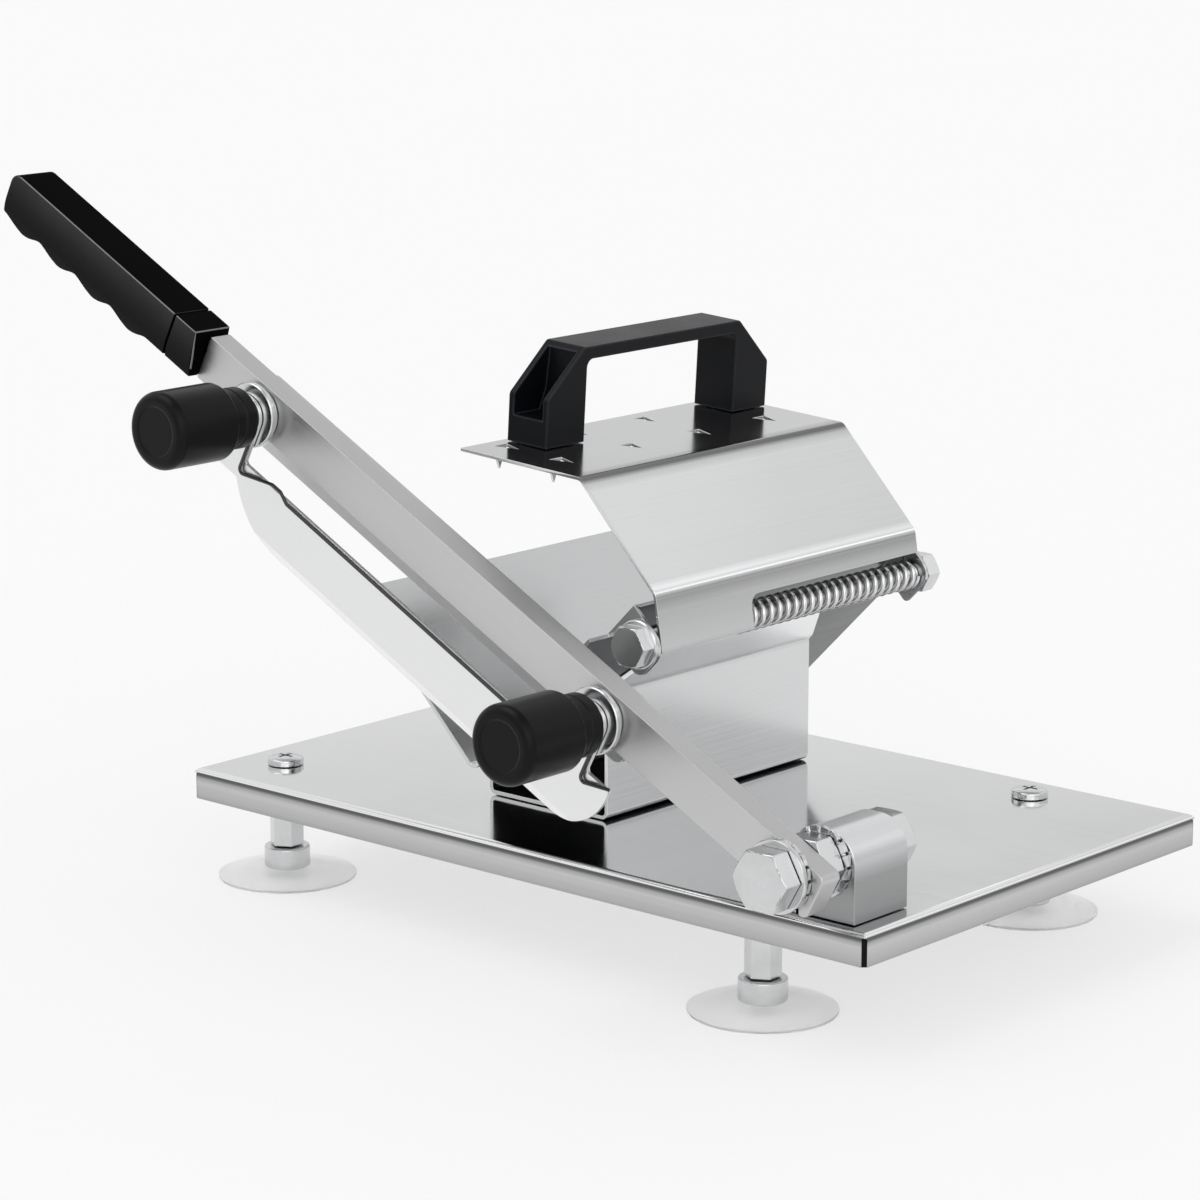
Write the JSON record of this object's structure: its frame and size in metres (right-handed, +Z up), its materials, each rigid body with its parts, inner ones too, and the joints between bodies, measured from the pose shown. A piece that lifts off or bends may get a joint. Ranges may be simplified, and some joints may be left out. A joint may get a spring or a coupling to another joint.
{
  "type": "frozen meat slicer",
  "caption": "Hand slicer for frozen meat: folded base on suction feet, V tray, sprung hinged press with D-handle on a rod, and a long pivoted lever with a clamped blade.",
  "frame": {"origin": "middle of the whole model, on the table under the suction cups", "axes": "+X along the base towards the pivot block, +Y away from the cut along the tray, +Z up"},
  "size_m": [0.3774, 0.257, 0.2534],
  "materials": {
    "polished_steel": "polished stainless sheet",
    "brushed_steel": "fine brushed stainless",
    "zinc": "bright plated steel",
    "blade_steel": "ground blade steel",
    "dark_steel": "dark spring wire",
    "satin_plastic": "satin black moulding",
    "knob_plastic": "semi-gloss black moulding",
    "rubber": "soft matt black",
    "cup_plastic": "pale translucent soft plastic"
  },
  "bodies": {
    "frame": {"base_plate": "polished_steel", "suction_cup_1": "cup_plastic", "foot_nut_1": "zinc", "foot_standoff_1": "zinc", "foot_screw_1": "zinc", "suction_cup_2": "cup_plastic", "foot_nut_2": "zinc", "foot_standoff_2": "zinc", "foot_screw_2": "zinc", "suction_cup_3": "cup_plastic", "foot_nut_3": "zinc", "foot_standoff_3": "zinc", "foot_screw_3": "zinc", "suction_cup_4": "cup_plastic", "foot_nut_4": "zinc", "foot_standoff_4": "zinc", "foot_screw_4": "zinc", "stand": "brushed_steel", "meat_tray": "brushed_steel", "press_rod": "zinc", "press_rod_nut": "zinc", "press_spring": "brushed_steel", "pivot_block": "polished_steel", "block_screw_1": "zinc", "block_screw_2": "zinc", "pivot_bolt": "zinc", "pivot_washer_front": "zinc", "pivot_lock_washer_front": "zinc", "pivot_nut": "zinc", "pivot_lock_washer_rear": "zinc"},
    "press_slider": {"press_thrust_washer": "zinc"},
    "press": {"press_plate": "brushed_steel", "press_handle": "satin_plastic", "handle_screw_near": "zinc", "handle_screw_far": "zinc", "press_sleeve": "zinc"},
    "lever": {"lever_arm": "brushed_steel", "arm_backing": "brushed_steel", "lever_grip": "rubber", "blade": "blade_steel", "blade_wire": "dark_steel", "blade_stud_lower": "zinc", "blade_stud_upper": "zinc", "blade_spacer_lower": "zinc", "blade_spacer_upper": "zinc"},
    "knob_upper": {"blade_knob_upper": "knob_plastic", "knob_bush_upper": "zinc"},
    "knob_lower": {"blade_knob_lower": "knob_plastic", "knob_bush_lower": "zinc"}
  },
  "joints": [
    {"name": "lever_hinge", "type": "hinge", "parent": "frame", "child": "lever", "pos_m": [0.16821, -0.07565, 0.0608], "axis": [0, 1, 0], "range_deg": [-30, 60]},
    {"name": "press_slide", "type": "slide", "parent": "frame", "child": "press_slider", "axis": [0, 1, 0], "range_m": [0, 0.055], "stiffness_N_per_m": 400, "springref_m": -0.01, "deforming": ["press_spring"]},
    {"name": "press_hinge", "type": "hinge", "parent": "press_slider", "child": "press", "pos_m": [0.08171, -0.02065, 0.1155], "axis": [0, 1, 0], "range_deg": [-20, 140]},
    {"name": "knob_upper_turn", "type": "hinge", "parent": "lever", "child": "knob_upper", "pos_m": [-0.0629, -0.11065, 0.17993], "axis": [0, 1, 0], "continuous": true},
    {"name": "knob_lower_turn", "type": "hinge", "parent": "lever", "child": "knob_lower", "pos_m": [0.09308, -0.11065, 0.09839], "axis": [0, 1, 0], "continuous": true}
  ]
}
